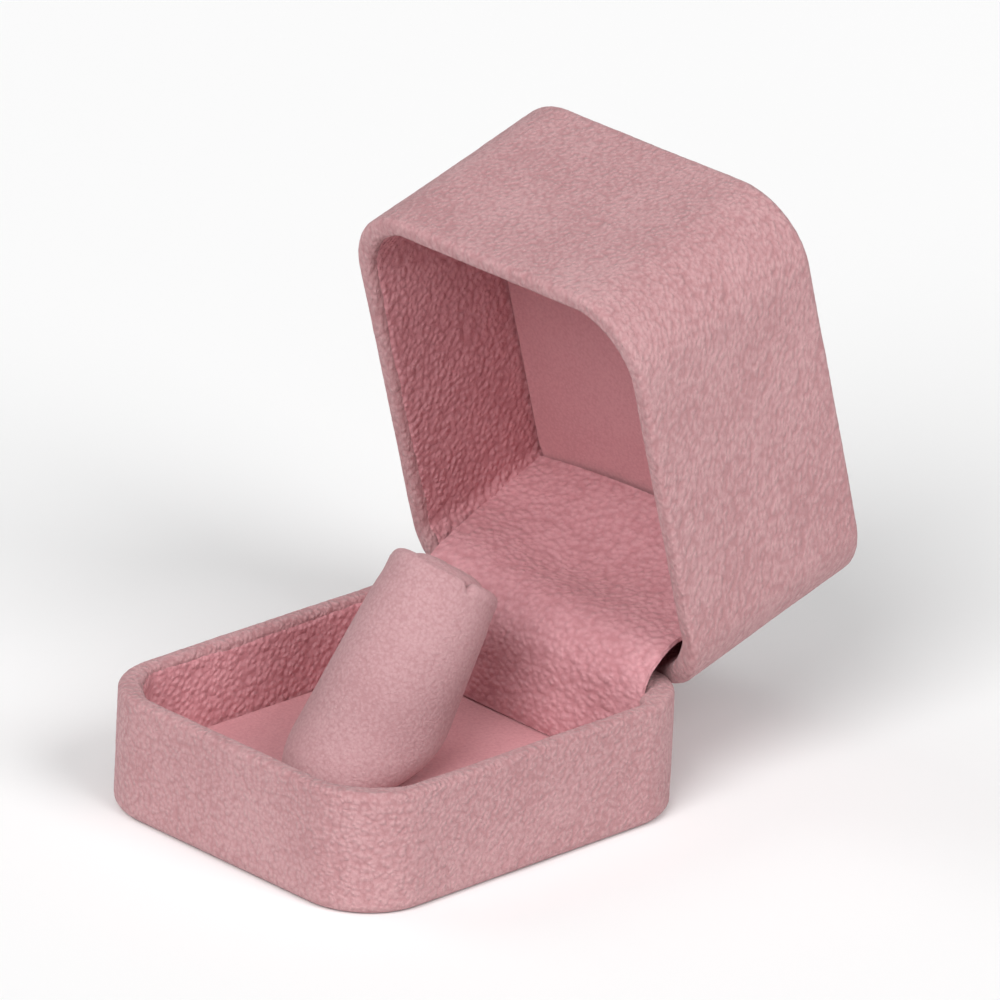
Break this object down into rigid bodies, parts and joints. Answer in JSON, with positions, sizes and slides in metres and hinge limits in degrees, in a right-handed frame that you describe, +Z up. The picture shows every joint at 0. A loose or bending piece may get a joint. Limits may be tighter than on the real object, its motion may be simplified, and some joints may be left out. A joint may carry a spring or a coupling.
{
  "type": "ring box",
  "caption": "Open clam-shell ring box with a shallow base, a deep rounded lid on a hidden sprung hinge, and a padded finger that leans back to hold a ring.",
  "frame": {"origin": "centre of the underside of the base", "axes": "+X along the hinge, +Y from the opening side to the hinge side, +Z up, with the base standing level and the lid open on its stop"},
  "size_m": [0.055, 0.0947, 0.0851],
  "materials": {
    "cover_cloth": "dusty pink microfibre suede with a short pebbled nap",
    "lining_cloth": "deeper pink microfibre suede with a coarser pebbled nap",
    "pad_cloth": "smooth pink suede drawn tight over foam",
    "finger_cloth": "smooth pale pink suede sleeve",
    "shell_plastic": "plain moulded plastic, off white, matt",
    "card": "grey-brown board",
    "bottom_card": "cloth-faced board, dusty pink",
    "foam": "off-white packing foam, open fine cells",
    "hinge_steel": "bright plated sheet steel",
    "spring_steel": "blued spring steel strip"
  },
  "bodies": {
    "base": {"base_shell": "shell_plastic", "base_cover": "cover_cloth", "base_bottom_panel": "bottom_card", "base_lining": "lining_cloth", "insert_board": "card", "insert_foam": "foam", "insert_cover": "pad_cloth", "finger_core": "foam", "finger_cover": "finger_cloth", "finger_cap": "finger_cloth", "hinge_base_leaf": "hinge_steel", "hinge_base_rivets": "hinge_steel", "hinge_pin": "hinge_steel", "hinge_spring": "spring_steel", "hinge_strip": "lining_cloth"},
    "lid": {"hinge_lid_leaf": "hinge_steel", "hinge_lid_rivets": "hinge_steel", "lid_shell": "shell_plastic", "lid_cover": "cover_cloth", "lid_lining": "lining_cloth", "lid_filler": "foam", "lid_pad_board": "card", "lid_pad_foam": "foam", "lid_pad_cover": "pad_cloth"}
  },
  "joints": [
    {"name": "lid_hinge", "type": "hinge", "parent": "base", "child": "lid", "pos_m": [0, 0.02963, 0.0166], "axis": [1, 0, 0], "range_deg": [0, 73.2], "deforming": ["hinge_strip", "hinge_spring"]}
  ]
}
